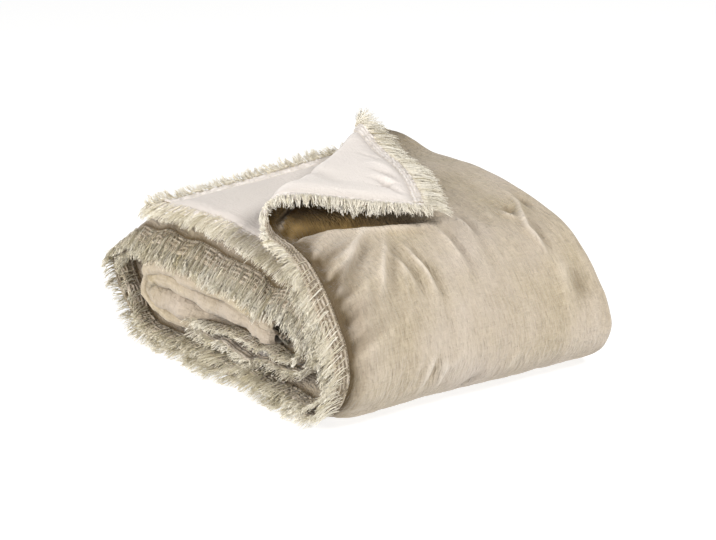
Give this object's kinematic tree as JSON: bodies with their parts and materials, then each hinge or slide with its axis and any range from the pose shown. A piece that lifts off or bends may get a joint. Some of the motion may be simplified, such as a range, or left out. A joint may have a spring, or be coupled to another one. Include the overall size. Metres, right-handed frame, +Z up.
{
  "type": "fringed comforter",
  "caption": "Padded comforter with fringed edges, folded in half and loosely rolled, lying on its side with one top corner turned back.",
  "frame": {"origin": "centre of the bounding box at its bottom, where the roll lies on the floor", "axes": "+Z up, +X along the roll from the open fringed end to the folded end, +Y across the roll towards the free end of the top layer"},
  "size_m": [0.483, 0.5136, 0.2444],
  "materials": {
    "cloth": "matt washed linen weave, sand beige on the front and off-white on the reverse",
    "fringe": "loose matt yarn, cream"
  },
  "bodies": {
    "root": {"comforter": "cloth", "fringe_outer_side": "fringe", "fringe_corner_side": "fringe", "fringe_inner_side": "fringe", "fringe_free_end": "fringe", "fringe_corner_end": "fringe"}
  },
  "joints": []
}
